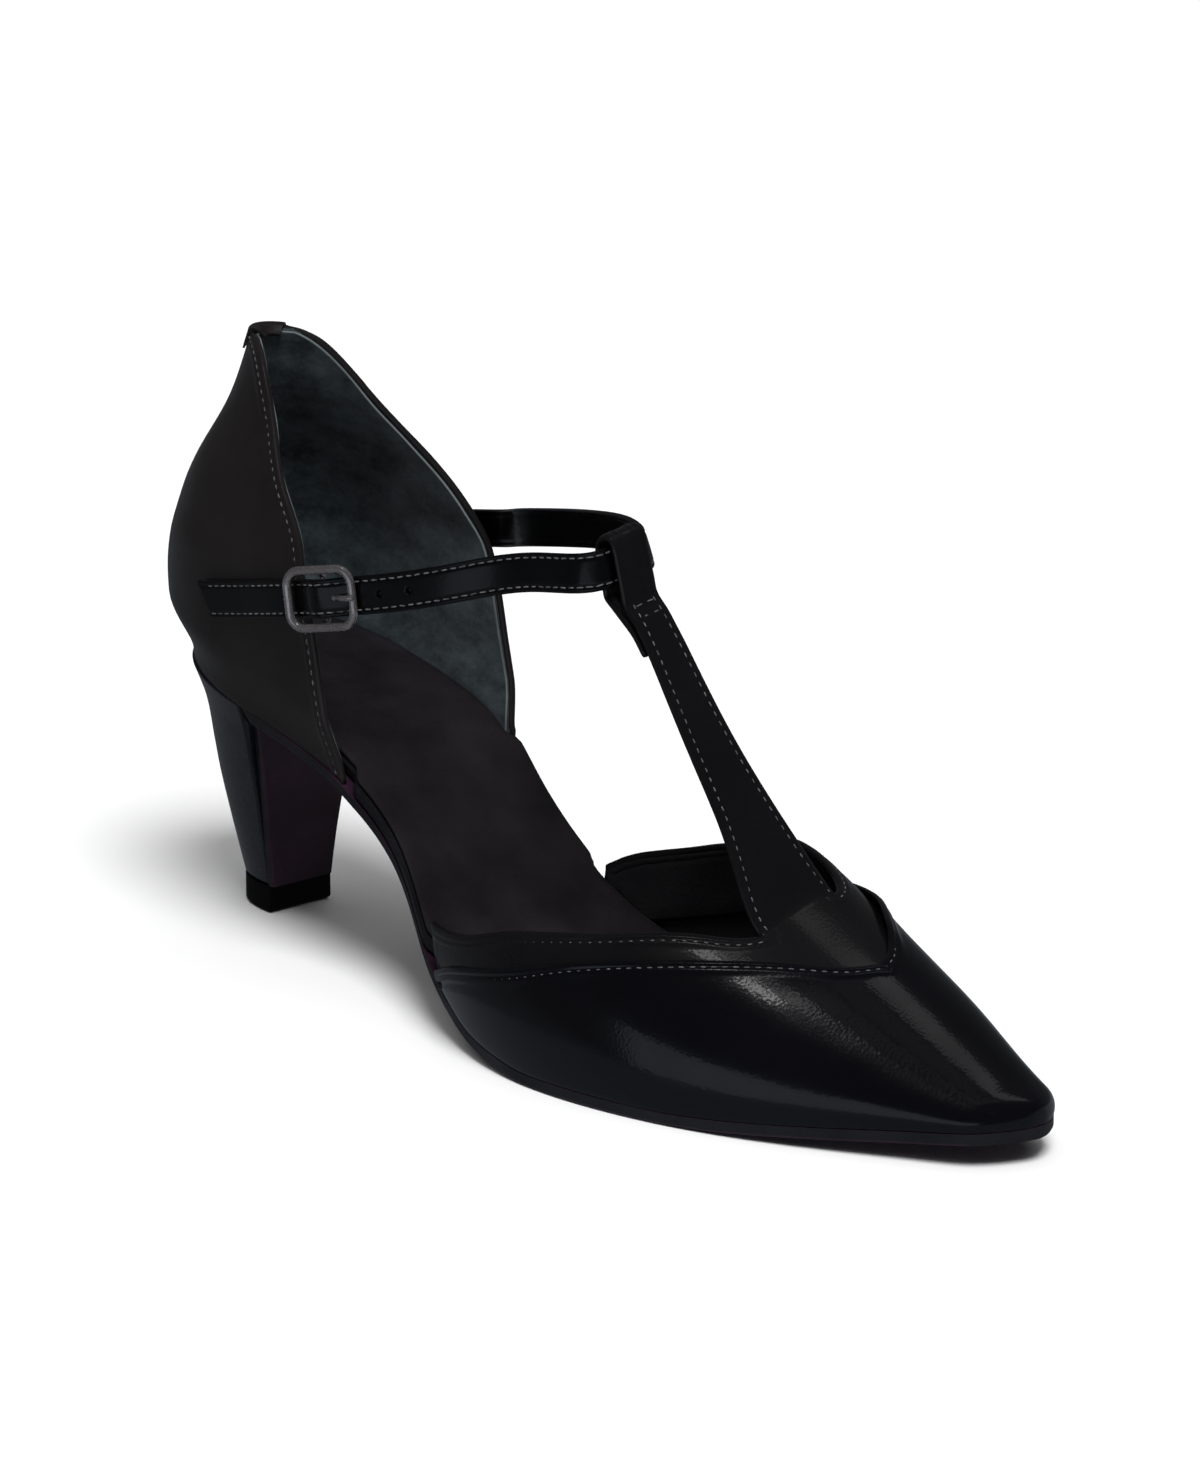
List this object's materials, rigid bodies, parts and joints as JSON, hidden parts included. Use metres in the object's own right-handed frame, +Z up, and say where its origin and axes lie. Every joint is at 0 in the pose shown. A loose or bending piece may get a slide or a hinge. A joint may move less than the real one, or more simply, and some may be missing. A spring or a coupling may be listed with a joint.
{
  "type": "t strap shoe",
  "caption": "Right-foot T-strap pump with a pointed toe, open waist, covered block heel and a buckled ankle strap that runs through a loop on the T.",
  "frame": {"origin": "centre of the flat face of the heel's top piece, on the floor", "axes": "+X from heel to toe, +Y to the medial side, +Z up"},
  "size_m": [0.2426, 0.0723, 0.1242],
  "materials": {
    "gloss_leather": "high gloss black leather",
    "sole_leather": "dark plum leather, semi matt",
    "edge_leather": "black wrapped edge",
    "sock_leather": "charcoal lining leather, matt",
    "rubber": "black, fine texture",
    "gunmetal": "polished dark nickel"
  },
  "bodies": {
    "root": {"outsole": "sole_leather", "heel": "gloss_leather", "top_piece": "rubber", "insole": "edge_leather", "insole_sock": "sock_leather", "upper_quarter": "gloss_leather", "back_tab": "gloss_leather", "upper_vamp": "gloss_leather", "collar_band_t_strap": "gloss_leather", "ankle_strap": "gloss_leather", "buckle_frame": "gunmetal", "buckle_prong": "gunmetal"}
  },
  "joints": []
}
